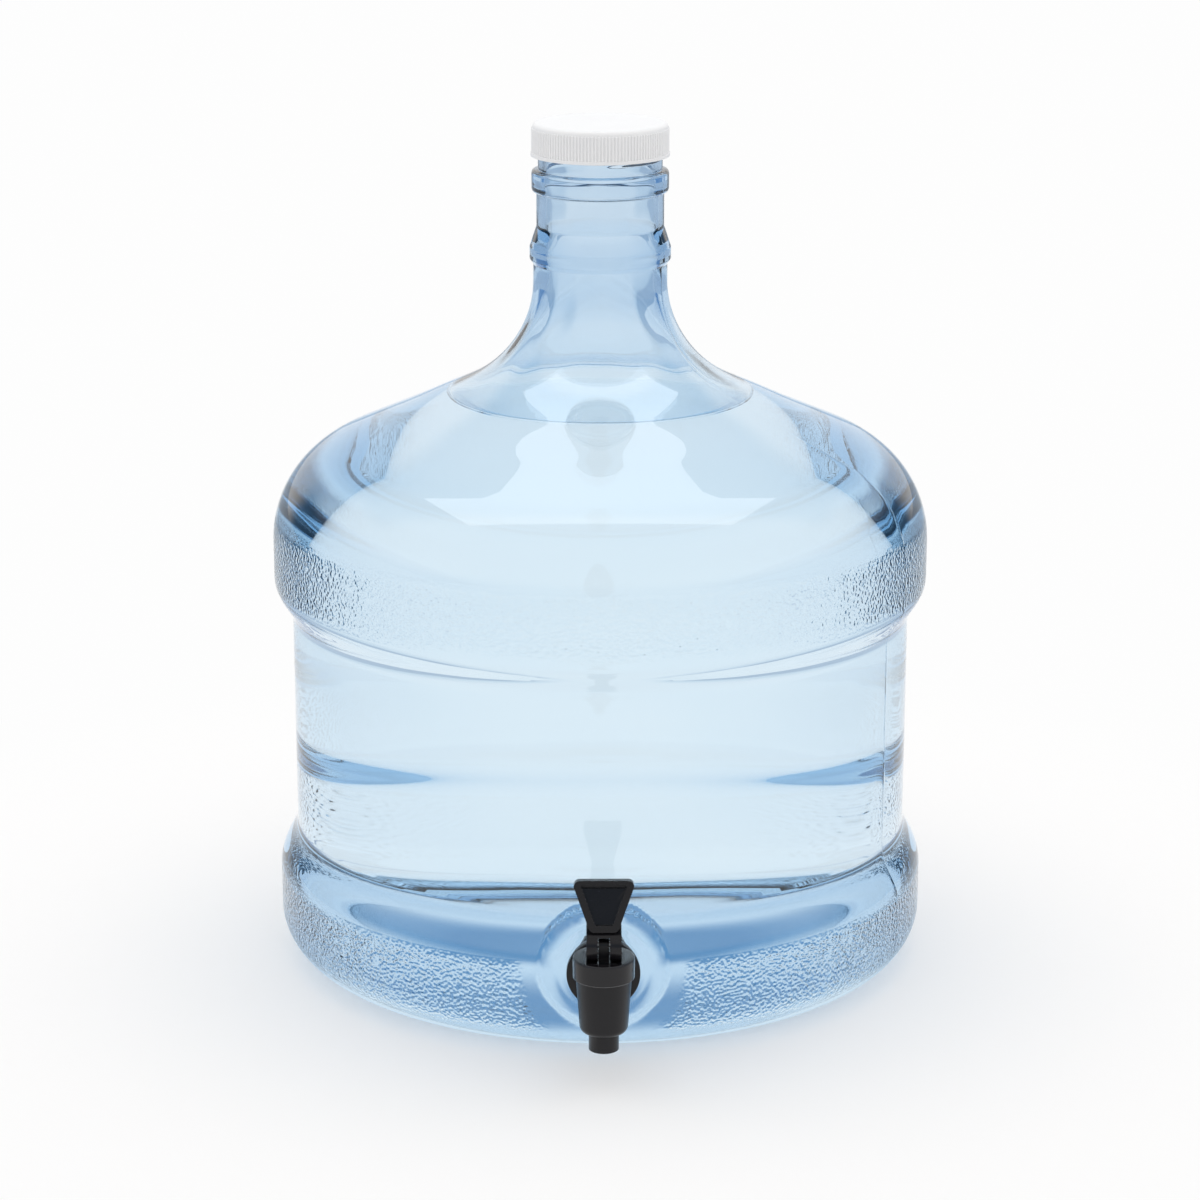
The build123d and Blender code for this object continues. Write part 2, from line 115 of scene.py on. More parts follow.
def body_profile(inset, neck, fine=1.0):
    """Radius and height from the base's centre to the neck's foot, moved inwards by inset."""
    def steps(count):
        return max(3, int(count * fine))
    stand, up = BAND - HEEL, np.array((0.0, 1.0))
    cone = np.array((-math.cos(SLOPE), math.sin(SLOPE)))
    shelf = NECK_FOOT[0] - neck
    cone_end = (CONE_END[0] - inset * math.sin(SLOPE), CONE_END[1] - inset * math.cos(SLOPE))
    flare = [cone_end, (FLARE_LOW[0] - 0.43 * inset, FLARE_LOW[1] - 0.9 * inset),
             (FLARE_MIDDLE[0] - 0.6 * inset, FLARE_MIDDLE[1] - 0.8 * inset),
             (FLARE_HIGH[0] - 0.7 * shelf, FLARE_HIGH[1] - 0.4 * inset), (neck, NECK_FOOT[1])]
    dome = line((0, 0), (stand - RING, 0), steps(16))
    dome[:, 1] = inset + PUSH_UP * (1 - (dome[:, 0] / (stand - RING)) ** 2)
    waist, band = WAIST - inset, BAND - inset
    fade_end, fade_start = LOWER_TOP + LOWER_FADE, UPPER_BOTTOM - UPPER_FADE
    shoulder = arc((BAND - SHOULDER, UPPER_TOP), SHOULDER - inset, 0, 90 - math.degrees(SLOPE),
                   steps(26))
    runs = [
        dome,
        line((stand - RING, inset), (stand, inset), 4),
        arc((stand, HEEL), HEEL - inset, -90, 0, steps(22)),
        line((band, HEEL), (band, LOWER_TOP), steps(16)),
        curve([(band, LOWER_TOP), (waist, fade_end)], up, up, steps(20)),
        line((waist, fade_end), (waist, fade_end + 8), steps(8)),
        line((waist, fade_end + 8), (waist, fade_start), steps(12)),
        curve([(waist, fade_start), (band, UPPER_BOTTOM)], up, up, steps(16)),
        line((band, UPPER_BOTTOM), (band, UPPER_TOP), steps(6)),
        shoulder,
        line(shoulder[-1], cone_end, steps(6)),
        curve(flare, cone, up, steps(34)),
    ]
    return np.concatenate([runs[0]] + [r[1:] for r in runs[1:]])


def around():
    """Angles round the bottle from the tap's side.

    They lie closer across the boss, and six stand across each of the mould's parting lines,
    with no other within 0.8 degrees of them.
    """
    boss = 13.5
    front = np.linspace(-boss, boss, 90, endpoint=False)
    rest = np.linspace(boss, 360 - boss, 142, endpoint=False)
    parting = math.degrees(SEAM_ANGLE) + np.array([-0.7, -0.15, -0.05, 0.05, 0.15, 0.7])
    seams = [parting, parting + 180]
    clear = np.all([np.abs(rest - s[:, None]).min(0) > 0.8 for s in seams], axis=0)
    return np.radians(np.sort(np.concatenate([front, rest[clear], *seams])))


def boss_reach(radius, angle, height, inset):
    """Radius with the tap's boss added.

    The boss is a flat disc with a quarter-round edge, square to the tap's shank, and a
    witness ring 0.25 mm deep where the two meet. It is blended with the body by
    max(a, b) + (k - |a - b|)^2 / 4k where the two are within k.
    """
    edge = BOSS_ROUND - inset
    witness, blend = 0.25, 4.0
    reach = np.full(radius.shape, BOSS_REACH)
    for _ in range(4):
        out = np.hypot(reach * np.sin(angle), height - PORT_HEIGHT) - BOSS_FLAT
        drop = edge - np.sqrt(np.clip(edge**2 - np.clip(out, 0, edge) ** 2, 0, None))
        ring = witness * np.exp(-((out - 0.6) / 0.6) ** 2) * (inset == 0)
        reach = (BOSS_REACH - inset - drop - ring) / np.maximum(np.cos(angle), 0.5)
    reach = np.where((out < edge) & (np.cos(angle) > 0.8), reach, 0)
    near = np.clip(blend - np.abs(reach - radius), 0, None)
    return np.maximum(reach, radius) + near**2 / (4 * blend)


def waviness(angle, height):
    """Unevenness of the blown wall's inside, in millimetres: a sum of long, slanting waves."""
    return (0.10 * np.sin(3 * angle + height / 14)
            + 0.07 * np.sin(7 * angle - height / 9 + 1.3)
            + 0.05 * np.sin(13 * angle + height / 23 + 0.6)
            + 0.04 * np.sin(height / 5.5 + 2 * angle))


def turned(profile, angles, inset, swell=None):
    """Grid of points for a profile turned round the bottle's axis, angle 0 towards the tap.

    The boss is added low on the wall. The inside, where inset is over 0, is made uneven, but
    not at the base's centre, just over the base or close round the port. Swell gives what
    stands proud of the outside.
    """
    radius = np.repeat(profile[:, :1], len(angles), 1)
    height = np.repeat(profile[:, 1:], len(angles), 1)
    angle = np.repeat(angles[None], len(profile), 0)
    inset = np.repeat(inset[:, None], len(angles), 1)
    low = (height > 3) & (height < 70) & (radius > 60)
    radius = np.where(low, boss_reach(radius, angle, height, inset), radius)
    inside = inset > 0
    calm = np.clip((radius - 5) / 20, 0, 1) * np.where(height > 3 + inset, 1, 0)
    calm = calm * np.clip(np.hypot(radius * np.sin(angle), height - PORT_HEIGHT) / 12 - 1.2, 0, 1)
    radius = radius + inside * calm * waviness(angle, height)
    if swell is not None:
        radius = radius + swell(angle, height, radius) * ~inside
    return np.stack([radius * np.sin(angle), -radius * np.cos(angle), height], -1) * MM


def grid_mesh(name, grid, close_start=False, close_end=False):
    """Mesh of a grid that closes round its second direction, with poles at its ends."""
    rows, columns = grid.shape[:2]
    points = grid.reshape(-1, 3)
    index = np.arange(rows * columns).reshape(rows, columns)
    after = np.roll(index, -1, 1)
    faces = [np.stack([index[:-1], after[:-1], after[1:], index[1:]], -1).reshape(-1, 4)]
    if close_start:
        points = np.concatenate([points, grid[0].mean(0)[None]])
        pole = np.full(columns, len(points) - 1)
        faces.append(np.stack([pole, after[0], index[0]], -1))
    if close_end:
        points = np.concatenate([points, grid[-1].mean(0)[None]])
        pole = np.full(columns, len(points) - 1)
        faces.append(np.stack([index[-1], after[-1], pole], -1))
    mesh = bpy.data.meshes.new(name)
    mesh.from_pydata(points, [], [face for part in faces for face in part.tolist()])
    mesh.polygons.foreach_set("use_smooth", np.ones(len(mesh.polygons), bool))
    piece = bpy.data.objects.new(name, mesh)
    bpy.context.scene.collection.objects.link(piece)
    return piece


def mark(piece, name, values):
    """Store a number for each point of a piece, for its material to read."""
    field = piece.data.attributes.new(name, "FLOAT", "POINT")
    field.data.foreach_set("value", np.asarray(values, np.float32).ravel())


def ease(value, low, high):
    """Smooth step from 0 at low to 1 at high."""
    share = np.clip((value - low) / (high - low), 0, 1)
    return share * share * (3 - 2 * share)


def within(value, low, low_full, high_full, high):
    """1 between the two full levels, with a smooth step down to 0 at low and at high."""
    return ease(value, low, low_full) * ease(-value, -high, -high_full)


def wet_edge(profile):
    """The inner profile with two points added where the water's level meets the wall."""
    high = profile[:, 0] < 100
    level = np.array([WATER_LEVEL - 0.05, WATER_LEVEL + 0.05])
    edge = np.stack([np.interp(level, profile[high, 1], profile[high, 0]), level], 1)
    at = np.searchsorted(np.where(high & (profile[:, 1] > 60), profile[:, 1], 0), WATER_LEVEL)
    return np.insert(profile, at, edge, axis=0)


def thread(angle, height):
    """Screw ridge of the neck: a hump that climbs one pitch a turn and fades at its ends.

    Its height is 1.2 (1 - (d / 1.3)^2)^0.7, d millimetres from its line.
    """
    pitch, start, turns = 4.23, 331.0, 1.6
    proud, half_width = 1.2, 1.3
    climb = (height - start) / pitch - angle / (2 * math.pi)
    turn = np.round(climb)
    along = turn + angle / (2 * math.pi)
    fade = np.clip(along * 6, 0, 1) * np.clip((turns - along) * 6, 0, 1)
    across = (climb - turn) * pitch
    return proud * fade * np.clip(1 - (across / half_width) ** 2, 0, 1) ** 0.7 * (height < 341)


def parting_line(angle, height, radius):
    """Mould seam: a 0.06 mm ridge, 1 mm wide, down both sides, fading out from 14 to 6 mm
    over the floor, so only a faint trace crosses the middle of the base.
    """
    away = np.abs(radius * np.sin(angle - SEAM_ANGLE))
    return 0.06 * np.clip(1 - away / 0.5, 0, 1) * ease(height, 6, 14) * (height < 326)


def bottle_shell():
    """Outer wall up to the mouth, its rounded rim, and the inner wall back to the base.

    Its points carry three numbers. Pebble is 1 on the outside of the two grip bands, 0 round
    the boss, and less behind the axis. Deep is 1 on the flare and 0.4 on the neck, where the
    plastic is thick. Wet is 1 where water touches the wall.
    """
    neck = rounded(
        [NECK_FOOT, (27.0, 287.98), (28.4, 290.0), (28.4, 294.7), (NECK, 303), (NECK, 316.78),
         (27.5, 316.78), (27.5, 325.78), (24.9, 325.78), (24.9, 328)],
        [0.8, 1.4, 3.5, 3.0, 0.6, 1.8, 1.8, 0.6])
    outer = np.concatenate([body_profile(0, NECK_FOOT[0]), neck[1:],
                            line((24.9, 329.5), (24.9, 340.8), 22)])
    rim = rounded([(24.9, 341), (24.9, MOUTH), (BORE, MOUTH), (BORE, 341)], [0.8, 0.8])
    bore = line((BORE, 340.5), (BORE, NECK_FOOT[1]), 34)
    bore[:, 0] += (0.9 * np.exp(-((bore[:, 1] - 292) / 4.5) ** 2)
                   + 0.7 * np.exp(-((bore[:, 1] - 321) / 3.5) ** 2))
    inner = np.concatenate([bore, wet_edge(body_profile(WALL, BORE, 0.72))[::-1][1:]])
    profile = np.concatenate([outer, rim, inner])[1:-1]
    inset = np.zeros(len(profile))
    inset[len(outer):] = WALL
    angles = around()

    def swell(angle, height, radius):
        return thread(angle, height) + parting_line(angle, height, radius)
    grid = turned(profile, angles, inset, swell)
    piece = grid_mesh("bottle_shell", grid, True, True)
    x, y, z = np.moveaxis(grid, -1, 0) / MM
    row = np.arange(len(profile))[:, None]
    base_radius = 115
    wall = (row < len(outer)) & (np.hypot(x, y) > base_radius)
    from_port = np.hypot(x, 0.9 * (z - PORT_HEIGHT))
    off_boss = np.maximum(ease(from_port, 30, 38), ease(y, -20, 20))
    lower = within(z, 8, 13, 36, 40) * off_boss
    upper = within(z, 159, 162.5, 183, 187)
    shallow = 1 - 0.65 * ease(y, 0, 70)
    mark(piece, "pebble", np.append(np.maximum(lower, upper) * wall * shallow, [0, 0]))
    deep = ease(z, 233, 240) * (0.4 + 0.6 * ease(-z, -268, -250))
    mark(piece, "deep", np.append(deep, [0, 0]))
    mark(piece, "wet", np.append((row > len(outer) + len(rim)) & (z < WATER_LEVEL), [0, 1]))
    return piece


def wire(tree, kind, **settings):
    """New shader node with its settings: attributes by name, inputs by name with _ for space."""
    node = tree.nodes.new(kind)
    for key, value in settings.items():
        if hasattr(node, key):
            setattr(node, key, value)
        else:
            node.inputs[key.replace("_", " ")].default_value = value
    return node


def maths(tree, operation, first, second=None, third=None):
    """Math node on sockets or plain numbers."""
    node = tree.nodes.new("ShaderNodeMath")
    node.operation = operation
    for slot, value in zip(node.inputs, (first, second, third)):
        if value is None:
            continue
        if isinstance(value, (int, float)):
            slot.default_value = value
        else:
            tree.links.new(value, slot)
    return node.outputs[0]


def blend_of(tree, share, first, second):
    """Colour that goes from first to second as share goes from 0 to 1."""
    node = wire(tree, "ShaderNodeMix", data_type="RGBA")
    tree.links.new(share, node.inputs["Factor"])
    for slot, value in ((node.inputs[6], first), (node.inputs[7], second)):
        if isinstance(value, tuple):
            slot.default_value = (*value, 1)
        else:
            tree.links.new(value, slot)
    return node.outputs[2]


def field(tree, name):
    """A number stored on the piece's points."""
    return wire(tree, "ShaderNodeAttribute", attribute_name=name).outputs["Fac"]


def shader_mix(tree, share, first, second):
    """Shader that goes from first to second as share goes from 0 to 1."""
    node = tree.nodes.new("ShaderNodeMixShader")
    for slot, value in zip(node.inputs, (share, first, second)):
        tree.links.new(value, slot)
    return node.outputs[0]


def empty_material(name):
    """New material whose tree has no nodes yet."""
    material = bpy.data.materials.new(name)
    material.use_nodes = True
    material.node_tree.nodes.clear()
    return material


def clear_output(tree, surface, shade, density, colour):
    """Output of a clear material, which takes its colour from the depth that light crosses.

    Lamp light passes straight on with the loss that shade gives, so the shadow is pale.
    """
    path = tree.nodes.new("ShaderNodeLightPath")
    through = wire(tree, "ShaderNodeBsdfTransparent", Color=(*shade, 1))
    show = tree.nodes.new("ShaderNodeOutputMaterial")
    surface = shader_mix(tree, path.outputs["Is Shadow Ray"], surface, through.outputs[0])
    tree.links.new(surface, show.inputs["Surface"])
    depth = wire(tree, "ShaderNodeVolumeAbsorption", Density=density, Color=(*colour, 1))
    tree.links.new(depth.outputs[0], show.inputs["Volume"])


def clear_plastic():
    """Clear blue polycarbonate: pebbled bands, and a little bluer in the thick flare and neck.

    The ratio of refraction is plastic to air, and plastic to water where the wall is wet.
    """
    material = empty_material("clear_blue")
    tree = material.node_tree
    link = tree.links.new
    place = tree.nodes.new("ShaderNodeTexCoord").outputs["Object"]
    pebble = wire(tree, "ShaderNodeTexNoise", Scale=780.0, Detail=0.0)
    link(place, pebble.inputs["Vector"])
    relief = maths(tree, "MULTIPLY", pebble.outputs["Fac"], field(tree, "pebble"))
    grain = wire(tree, "ShaderNodeBump", Strength=1.0, Distance=0.0006)
    link(relief, grain.inputs["Height"])
    tint = blend_of(tree, field(tree, "deep"), (1.0, 1.0, 1.0), (0.89, 0.94, 0.965))
    sides = []
    for to_air_or_water in (1.585, 1.189):
        shader = wire(tree, "ShaderNodeBsdfPrincipled", Roughness=0.0, IOR=to_air_or_water,
                      Transmission_Weight=1.0)
        link(tint, shader.inputs["Base Color"])
        link(grain.outputs[0], shader.inputs["Normal"])
        sides.append(shader.outputs[0])
    wall = shader_mix(tree, field(tree, "wet"), *sides)
    clear_output(tree, wall, (0.80, 0.86, 0.90), 60.0, (0.10, 0.50, 0.82))
    return material


shell = bottle_shell()
shell.data.materials.append(clear_plastic())
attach(shell, "carboy")
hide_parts("bottle")

# ---- water -------------------------------------------------------------------------------
# The bottle stands filled to the top of its shoulder. The water is one body with a level
# top that turns up at the wall, and it fills the whole inside, the boss's hollow too.


def water_body():
    """The inner wall's form, 0.05 mm clear of it, closed by a level top with a meniscus.

    The top's height over the level is 1.2 exp(-d / 1.4), d millimetres from the wall. Its
    points carry a 1 for the top and a 0 for the sides.
    """
    inset = WALL + 0.05
    profile = wet_edge(body_profile(inset, BORE, 0.72))
    profile = profile[:np.flatnonzero(profile[:, 1] > WATER_LEVEL)[1]]
    edge = profile[-1, 0]
    lip = line((edge, WATER_LEVEL), (edge - 6, WATER_LEVEL), 10)
    lip[:, 1] += 1.2 * np.exp(-(edge - lip[:, 0]) / 1.4)
    top = line((edge - 6, WATER_LEVEL), (0, WATER_LEVEL), 12)
    sides = len(profile) - 1
    profile = np.concatenate([profile, lip, top[1:]])[1:-1]
    grid = turned(profile, around(), np.full(len(profile), inset))
    piece = grid_mesh("water", grid, True, True)
    level = np.repeat(np.arange(len(profile)) >= sides, grid.shape[1])
    mark(piece, "level", np.append(level, [0, 1]))
    return piece


def clear_water():
    """Still water: the faint blue of its depth, and a mirror-flat top.

    Its sides pass light straight on, because the bottle's wet wall already bends it.
    """
    material = empty_material("clear_water")
    tree = material.node_tree
    top = wire(tree, "ShaderNodeBsdfPrincipled", Base_Color=(1, 1, 1, 1), Roughness=0.0,
               IOR=1.333, Transmission_Weight=1.0)
    side = wire(tree, "ShaderNodeBsdfTransparent", Color=(1, 1, 1, 1))
    body = shader_mix(tree, field(tree, "level"), side.outputs[0], top.outputs[0])
    clear_output(tree, body, (0.98, 0.99, 1), 0.5, (0.2, 0.8, 0.95))
    return material


water = water_body()
water.data.materials.append(clear_water())
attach(water, "carboy")

# ---- tap body ----------------------------------------------------------------------------
# Injection-moulded black plastic: a barrel with a hose nozzle under it, and a flanged shank
# that passes through the bottle's boss. Satin all over, with the faint unevenness of a
# moulding.


def moulded(node, edge, carrier, turn_over=32, polish_and_painted_highlight=False):
    """Merged copy of a part's form with smooth faces and edges broken by edge millimetres.

    An edge is one where the surface turns by over turn_over degrees. Where asked, the broken
    edges take the piece's second material: glossier, and painted light grey as a highlight.
    """
    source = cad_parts[node]
    work = bmesh.new()
    work.from_mesh(source.data)
    work.transform(source.matrix_world)
    bmesh.ops.remove_doubles(work, verts=work.verts, dist=1e-6)
    flat = math.radians(0.4)
    bmesh.ops.dissolve_limit(work, angle_limit=flat, verts=work.verts, edges=work.edges)
    limit = math.radians(turn_over)
    for corner in work.edges:
        corner.smooth = len(corner.link_faces) == 2 and corner.calc_face_angle(0) < limit
    mesh = bpy.data.meshes.new(node + "_form")
    work.to_mesh(mesh)
    work.free()
    mesh.shade_smooth()
    mesh.set_sharp_from_angle(angle=limit)
    piece = bpy.data.objects.new(node + "_form", mesh)
    bpy.context.scene.collection.objects.link(piece)
    if edge:
        bevel = piece.modifiers.new("edge", "BEVEL")
        bevel.width = edge * MM
        bevel.segments = 2
        bevel.limit_method = "ANGLE"
        bevel.angle_limit = limit
        bevel.material = 1 if polish_and_painted_highlight else -1
    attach(piece, carrier)
    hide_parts(node)
    return piece


def grain_group():
    """Node group for mouldings: slow and fine unevenness of gloss and height.

    Tone 0 to 1 varies the colour, Gloss the roughness, and Height is in metres.
    """
    group = bpy.data.node_groups.new("moulding_grain", "ShaderNodeTree")
    for output in ("Tone", "Gloss", "Height"):
        group.interface.new_socket(output, in_out="OUTPUT", socket_type="NodeSocketFloat")
    place = group.nodes.new("ShaderNodeTexCoord").outputs["Object"]
    slow = wire(group, "ShaderNodeTexNoise", Scale=70.0, Detail=3.0)
    fine = wire(group, "ShaderNodeTexNoise", Scale=2600.0, Detail=2.0)
    group.links.new(place, slow.inputs["Vector"])
    group.links.new(place, fine.inputs["Vector"])
    out = group.nodes.new("NodeGroupOutput")
    group.links.new(slow.outputs["Fac"], out.inputs["Tone"])
    gloss = maths(group, "MULTIPLY_ADD", fine.outputs["Fac"], 0.4, slow.outputs["Fac"])
    group.links.new(gloss, out.inputs["Gloss"])
    waves = maths(group, "MULTIPLY", slow.outputs["Fac"], 0.00012)
    height = maths(group, "MULTIPLY_ADD", fine.outputs["Fac"], 0.000012, waves)
    group.links.new(height, out.inputs["Height"])
    return group


GRAIN = grain_group()


def plastic(name, dark, light, satin, relief=1.0, shine=0.5, coat=0.0):
    """Moulded plastic: dark and light are its two tones, satin its roughness range.

    Relief is the strength of its bump, shine how much it mirrors, and coat the share of a
    clear gloss over it.
    """
    material = bpy.data.materials.new(name)
    material.use_nodes = True
    tree = material.node_tree
    shader = tree.nodes["Principled BSDF"]
    shader.inputs["Specular IOR Level"].default_value = shine
    shader.inputs["Coat Weight"].default_value = coat
    shader.inputs["Coat Roughness"].default_value = 0.06
    grain = wire(tree, "ShaderNodeGroup", node_tree=GRAIN)
    tone = blend_of(tree, grain.outputs["Tone"], dark, light)
    tree.links.new(tone, shader.inputs["Base Color"])
    rough = wire(tree, "ShaderNodeMapRange", From_Min=0.4, From_Max=1.0, To_Min=satin[0],
                 To_Max=satin[1])
    tree.links.new(grain.outputs["Gloss"], rough.inputs["Value"])
    tree.links.new(rough.outputs["Result"], shader.inputs["Roughness"])
    bump = wire(tree, "ShaderNodeBump", Strength=relief, Distance=1.0)
    tree.links.new(grain.outputs["Height"], bump.inputs["Height"])
    tree.links.new(bump.outputs[0], shader.inputs["Normal"])
    return material


BLACK_DARK = (0.005, 0.005, 0.006)
BLACK_LIGHT = (0.009, 0.008, 0.010)
black = plastic("black_tap", BLACK_DARK, BLACK_LIGHT, (0.26, 0.36), 1.0, 0.3)
barrel = moulded("tap_body", 0.3, "carboy")
barrel.data.materials.append(black)

# ---- tap bonnet --------------------------------------------------------------------------
# Glossier black collar screwed on top of the barrel: it clamps the seat cup's rim and guides
# the stem.
bonnet = moulded("tap_bonnet", 0.35, "carboy", polish_and_painted_highlight=True)
glossy = plastic("black_gloss", BLACK_DARK, BLACK_LIGHT, (0.12, 0.20), 0.6, 0.25, 0.25)
bonnet.data.materials.append(glossy)
# Broken edges of the bonnet and lever: glossier plastic, painted light grey as a highlight on the
# black.
edge_polish_and_highlight = plastic("edge_polish_and_highlight", (0.24, 0.24, 0.25), (0.32, 0.32, 0.33), (0.15, 0.25), 1.0, 1.0)
bonnet.data.materials.append(edge_polish_and_highlight)

# ---- tap lever ---------------------------------------------------------------------------
# Long black paddle with a raised rim and two cheeks whose cam feet stand on the bonnet. The
# flats are duller than the rim, whose broken edges are glossier and carry a painted highlight.
lever = moulded("tap_lever", 0.4, "lever", polish_and_painted_highlight=True)
duller = plastic("black_lever", BLACK_DARK, BLACK_LIGHT, (0.18, 0.28), 1.0, 0.2, 0.12)
lever.data.materials.append(duller)
lever.data.materials.append(edge_polish_and_highlight)

# ---- valve stem --------------------------------------------------------------------------
# Black moulded stem whose flat tongue rises between the lever's cheeks and whose foot
# buttons into the seat cup.
stem = moulded("valve_stem", 0.2, "stem")
stem.data.materials.append(black)

# ---- lever pin ---------------------------------------------------------------------------
# Plain steel pin with turning marks round it, through the lever's cheeks and the stem.
pin_metal = bpy.data.materials.new("pin_steel")
pin_metal.use_nodes = True
tree = pin_metal.node_tree
shader = tree.nodes["Principled BSDF"]
shader.inputs["Metallic"].default_value = 1
along = tree.nodes.new("ShaderNodeMapping")
along.inputs["Scale"].default_value = (9000, 60, 60)
tree.links.new(tree.nodes.new("ShaderNodeTexCoord").outputs["Object"], along.inputs["Vector"])
marks = wire(tree, "ShaderNodeTexNoise", Scale=1.0, Detail=3.0)
tree.links.new(along.outputs[0], marks.inputs["Vector"])
steel = blend_of(tree, marks.outputs["Fac"], (0.42, 0.42, 0.43), (0.66, 0.65, 0.64))
tree.links.new(steel, shader.inputs["Base Color"])
satin = maths(tree, "MULTIPLY_ADD", marks.outputs["Fac"], 0.3, 0.15)
tree.links.new(satin, shader.inputs["Roughness"])
pin = moulded("lever_pin", 0.15, "lever")
pin.data.materials.append(pin_metal)

# ---- seat cup ----------------------------------------------------------------------------
# Soft cup of translucent white silicone: its plug closes the outlet. It keeps the form that
# model.glb gives it, though in the real tap its wall folds as the stem lifts.


def rubber():
    """Silicone: milky, a little see-through and lightly grained."""
    material = plastic("silicone", (0.60, 0.63, 0.66), (0.76, 0.78, 0.80), (0.38, 0.5))
    shader = material.node_tree.nodes["Principled BSDF"]
    shader.inputs["Transmission Weight"].default_value = 0.25
    shader.inputs["IOR"].default_value = 1.41
    return material


silicone = rubber()
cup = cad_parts["seat_cup"]
cup.data.materials.clear()
cup.data.materials.append(silicone)

# ---- outer gasket ------------------------------------------------------------------------
# Silicone ring between the shank's flange and the boss's flat face.
outer = moulded("outer_gasket", 0.3, "carboy")
outer.data.materials.append(silicone)

# ---- inner gasket ------------------------------------------------------------------------
# The same silicone ring inside the bottle, under the back nut.
inner = moulded("inner_gasket", 0.3, "carboy")
inner.data.materials.append(silicone)

# ---- back nut ----------------------------------------------------------------------------
# Black moulded nut that draws the shank tight from inside the bottle.
nut = moulded("back_nut", 0.4, "carboy")
nut.data.materials.append(black)

# ---- screw cap ---------------------------------------------------------------------------
# White moulded polypropylene cap with close upright ribs and a plain rounded top. The
# plastic is faintly waxy.
cap = moulded("screw_cap", 0.25, "cap", 40)
waxy = plastic("white_cap", (0.80, 0.80, 0.81), (0.86, 0.86, 0.86), (0.36, 0.46))
cap.data.materials.append(waxy)

# ---- cap liner ---------------------------------------------------------------------------
# Disc of white foamed plastic pressed into the cap's top, with closed cells that show as
# fine pits.
liner = moulded("cap_liner", 0, "cap_carrier")
foam = plastic("foam_liner", (0.74, 0.74, 0.72), (0.82, 0.82, 0.80), (0.6, 0.75), 0.5)
tree = foam.node_tree
cells = wire(tree, "ShaderNodeTexVoronoi", Scale=1400.0)
tree.links.new(tree.nodes.new("ShaderNodeTexCoord").outputs["Object"], cells.inputs["Vector"])
pits = next(node for node in tree.nodes if node.type == "BUMP")
tree.links.new(maths(tree, "MULTIPLY", cells.outputs["Distance"], 0.0001), pits.inputs["Height"])
liner.data.materials.append(foam)

# ---- studio ------------------------------------------------------------------------------
# White floor and backdrop, and one large softbox overhead. What the plastic bends or mirrors
# is dim blue in front, bluer at the sides and in the high rear, and white elsewhere, so the
# clear plastic has edges.
WHITE = (0.985, 0.985, 0.985)
PAPER = (0.925, 0.91, 0.90)
# Painted shade on the floor where the plastic shows it: a blue painted shadow under the bottle,
# and greyer sides.
UNDER_SHADOW_BLUE = (0.50, 0.68, 0.84)
TABLE_SIDE_SHADE, TABLE_EDGE_SHADE = (0.78, 0.84, 0.89), (0.52, 0.60, 0.70)
FRONT_DIM, SIDE_DIM, OVER_DIM = (0.30, 0.42, 0.56), (0.12, 0.29, 0.54), (0.24, 0.42, 0.61)
LIT = (0.93, 0.93, 0.93)
scene = bpy.context.scene


def ramp_of(tree, value, low, high):
    """Smooth step of a socket's value from 0 at low to 1 at high."""
    node = wire(tree, "ShaderNodeMapRange", interpolation_type="SMOOTHSTEP", From_Min=low,
                From_Max=high)
    tree.links.new(value, node.inputs["Value"])
    return node.outputs["Result"]


def seen_in_clear(tree, path):
    """1 for light that has left a mirror-like or clear surface, otherwise 0."""
    glossy, clear = path.outputs["Is Glossy Ray"], path.outputs["Is Transmission Ray"]
    return maths(tree, "MAXIMUM", glossy, clear)


def floor_white():
    """Pale matt floor that keeps the bottle's shadow and fades to white away from it.

    Seen through the plastic it is painted with shade: blue under the bottle as a painted
    shadow where the light has crossed it, then white, greyer towards the sides, and dim on
    the camera's side past half a metre.
    """
    material = empty_material("floor_white")
    tree = material.node_tree
    link = tree.links.new
    place = tree.nodes.new("ShaderNodeTexCoord").outputs["Object"]
    split = tree.nodes.new("ShaderNodeSeparateXYZ")
    link(place, split.inputs[0])
    distance = wire(tree, "ShaderNodeVectorMath", operation="LENGTH")
    link(place, distance.inputs[0])
    away = distance.outputs["Value"]
    aside = maths(tree, "ABSOLUTE", split.outputs["X"])
    # Painted shade seen through the plastic: a blue shadow under the bottle, grey to the sides,
    # dim in front.
    table = blend_of(tree, ramp_of(tree, away, 0.11, 0.17), UNDER_SHADOW_BLUE, WHITE)
    table = blend_of(tree, ramp_of(tree, aside, 0.16, 0.40), table, TABLE_SIDE_SHADE)
    table = blend_of(tree, ramp_of(tree, aside, 0.38, 0.50), table, TABLE_EDGE_SHADE)
    table = blend_of(tree, ramp_of(tree, split.outputs["Y"], -0.5, -1.1), table, FRONT_DIM)
    path = tree.nodes.new("ShaderNodeLightPath")
    bent = seen_in_clear(tree, path)
    white = wire(tree, "ShaderNodeEmission", Strength=1.0)
    link(blend_of(tree, bent, WHITE, table), white.inputs["Color"])
    paper = wire(tree, "ShaderNodeBsdfDiffuse", Color=(*PAPER, 1))
    fade = maths(tree, "ADD", maths(tree, "MULTIPLY", ramp_of(tree, away, 0.14, 0.42), 0.7), 0.3)
    direct = maths(tree, "MULTIPLY", path.outputs["Is Camera Ray"], fade)
    share = maths(tree, "MAXIMUM", direct, bent)
    show = tree.nodes.new("ShaderNodeOutputMaterial")
    link(shader_mix(tree, share, paper.outputs[0], white.outputs[0]), show.inputs["Surface"])
    return material


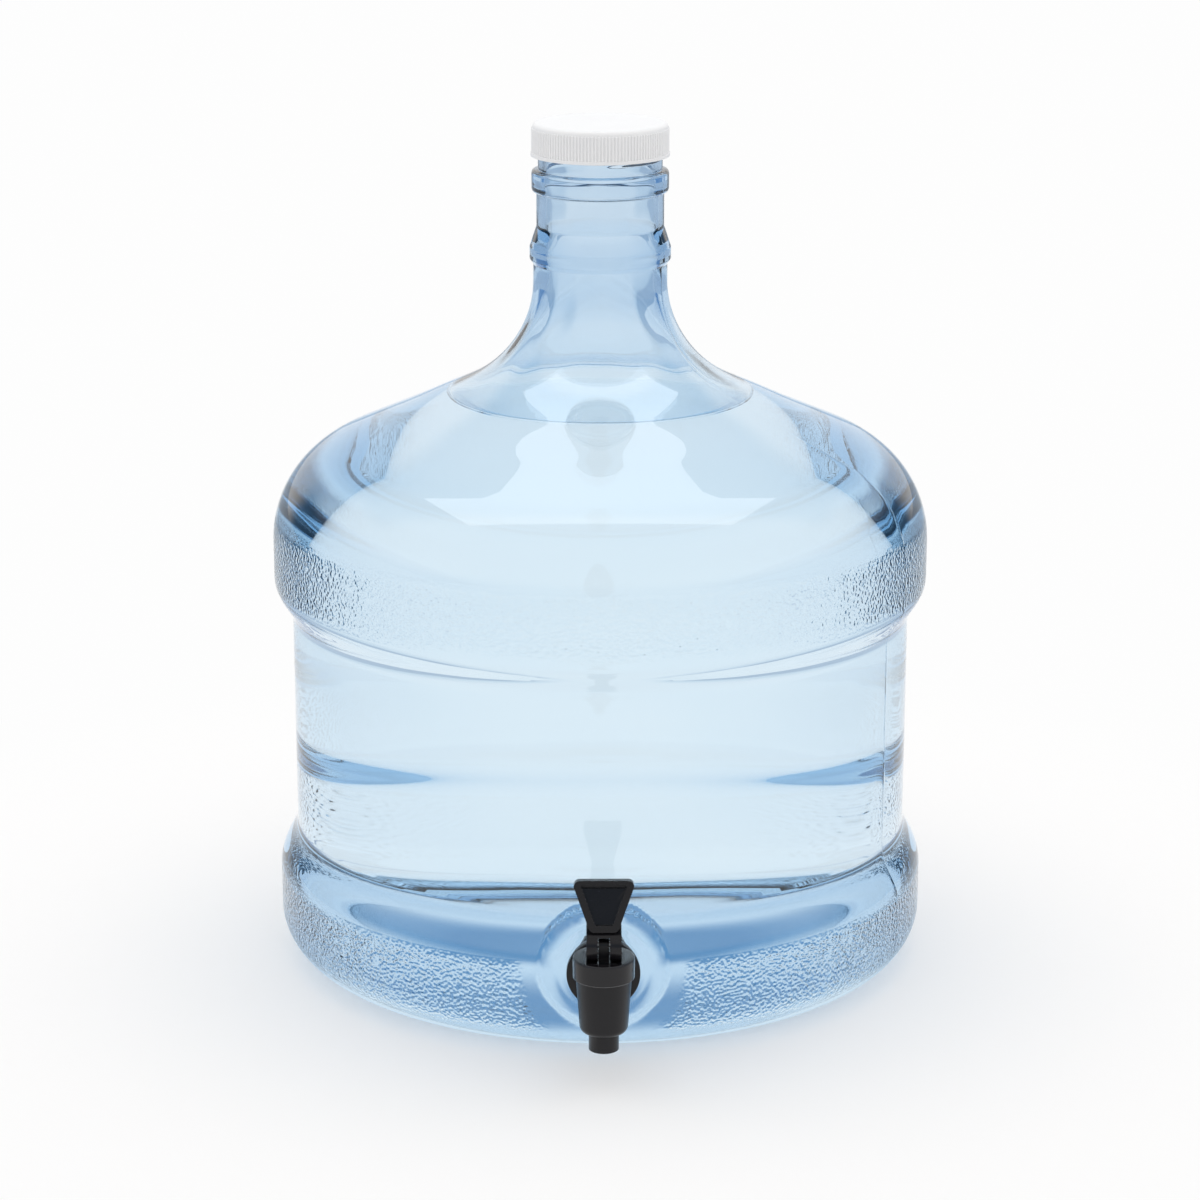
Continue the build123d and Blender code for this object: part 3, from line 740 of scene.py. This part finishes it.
def room_colour(tree):
    """Colour of the room by direction: x to the right, y away from the camera, z up.

    The front is dim and blends into a deeper blue at the sides. White covers it towards the
    rear and, all round, from 12 to 25 degrees up. The rear is blue again from 31 to 41
    degrees up.
    """
    split = tree.nodes.new("ShaderNodeSeparateXYZ")
    tree.links.new(tree.nodes.new("ShaderNodeTexCoord").outputs["Generated"], split.inputs[0])
    x, y, z = (split.outputs[axis] for axis in "XYZ")
    wide = maths(tree, "ABSOLUTE", x)
    behind = ramp_of(tree, maths(tree, "MULTIPLY_ADD", wide, -0.9, y), 0.08, 0.38)
    over = maths(tree, "MULTIPLY", ramp_of(tree, z, 0.52, 0.66), ramp_of(tree, y, 0.05, 0.30))
    room = blend_of(tree, ramp_of(tree, wide, 0.4, 0.8), FRONT_DIM, SIDE_DIM)
    room = blend_of(tree, behind, room, WHITE)
    room = blend_of(tree, ramp_of(tree, z, 0.20, 0.42), room, WHITE)
    return blend_of(tree, over, room, OVER_DIM)


bpy.ops.mesh.primitive_plane_add(size=12, location=(0, 0, 0))
floor = bpy.context.object
floor.name = "floor"
floor.data.materials.append(floor_white())

world = bpy.data.worlds.new("studio")
scene.world = world
world.use_nodes = True
tree = world.node_tree
sky = tree.nodes["Background"]
path = tree.nodes.new("ShaderNodeLightPath")
back = blend_of(tree, seen_in_clear(tree, path), WHITE, room_colour(tree))
back = blend_of(tree, path.outputs["Is Diffuse Ray"], back, LIT)
tree.links.new(back, sky.inputs["Color"])
sky.inputs["Strength"].default_value = 1

top = bpy.data.lights.new("overhead", "AREA")
top.shape = "RECTANGLE"
top.size, top.size_y = 1.6, 0.9
top.energy = 6.5
overhead = bpy.data.objects.new("overhead", top)
overhead.location = (0, 0.35, 1.6)
scene.collection.objects.link(overhead)

view = bpy.data.cameras.new("camera")
view.lens, view.sensor_width, view.shift_x = 105.96, 36, -0.0002
camera = bpy.data.objects.new("camera", view)
turn, back_off, height, tilt = math.radians(0.5), 1.4, 0.5484, math.radians(74)
camera.location = (-back_off * math.sin(turn), -back_off * math.cos(turn), height)
camera.rotation_euler = (tilt, 0, -turn)
scene.collection.objects.link(camera)
scene.camera = camera

scene.view_settings.view_transform = "Standard"
